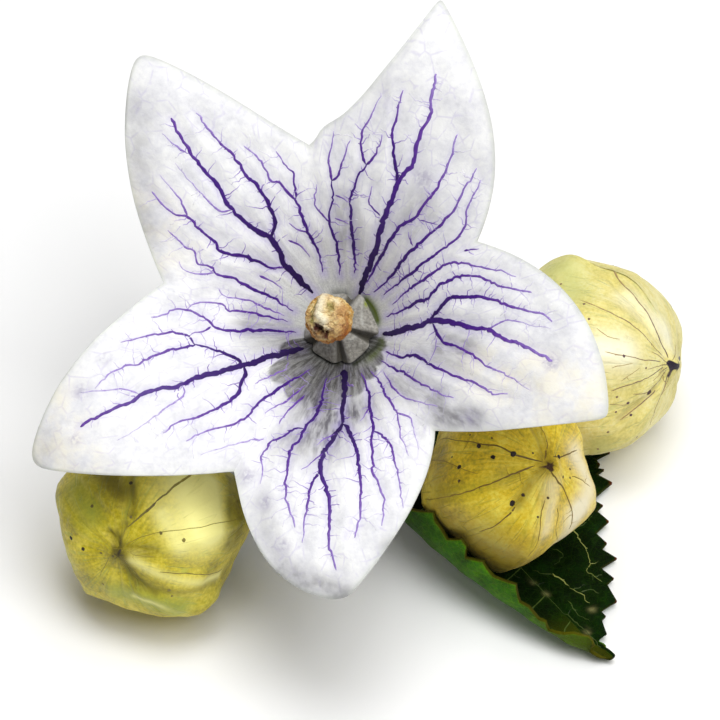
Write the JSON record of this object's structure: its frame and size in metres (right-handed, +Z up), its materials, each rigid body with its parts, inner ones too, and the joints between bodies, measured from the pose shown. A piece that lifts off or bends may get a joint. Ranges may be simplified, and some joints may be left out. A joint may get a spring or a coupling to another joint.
{
  "type": "balloon flower",
  "caption": "Cut flowering tip of a dwarf white balloon flower lying on a surface: open star-shaped bloom with violet veins, balloon buds and a toothed leaf.",
  "frame": {"origin": "on the surface it lies on, below the middle of its footprint", "axes": "+Z up, away from the surface; the cut end of the stem points to +Y and the bloom faces up and towards -Y"},
  "size_m": [0.0538, 0.0564, 0.0433],
  "materials": {
    "petal": "soft satin, white with violet veins",
    "filaments": "downy, grey green",
    "style": "downy, cream yellow",
    "bud": "satin, yellow green",
    "stalk": "satin, green",
    "stem": "satin, green",
    "leaf": "satin, dark green"
  },
  "bodies": {
    "root": {"bloom_corolla": "petal", "bloom_filaments": "filaments", "bloom_style": "style", "bloom_stalk": "stalk", "bud_left": "bud", "bud_left_stalk": "stalk", "bud_low": "bud", "bud_low_stalk": "stalk", "bud_right": "bud", "bud_right_stalk": "stalk", "stem": "stem", "leaf": "leaf"}
  },
  "joints": []
}
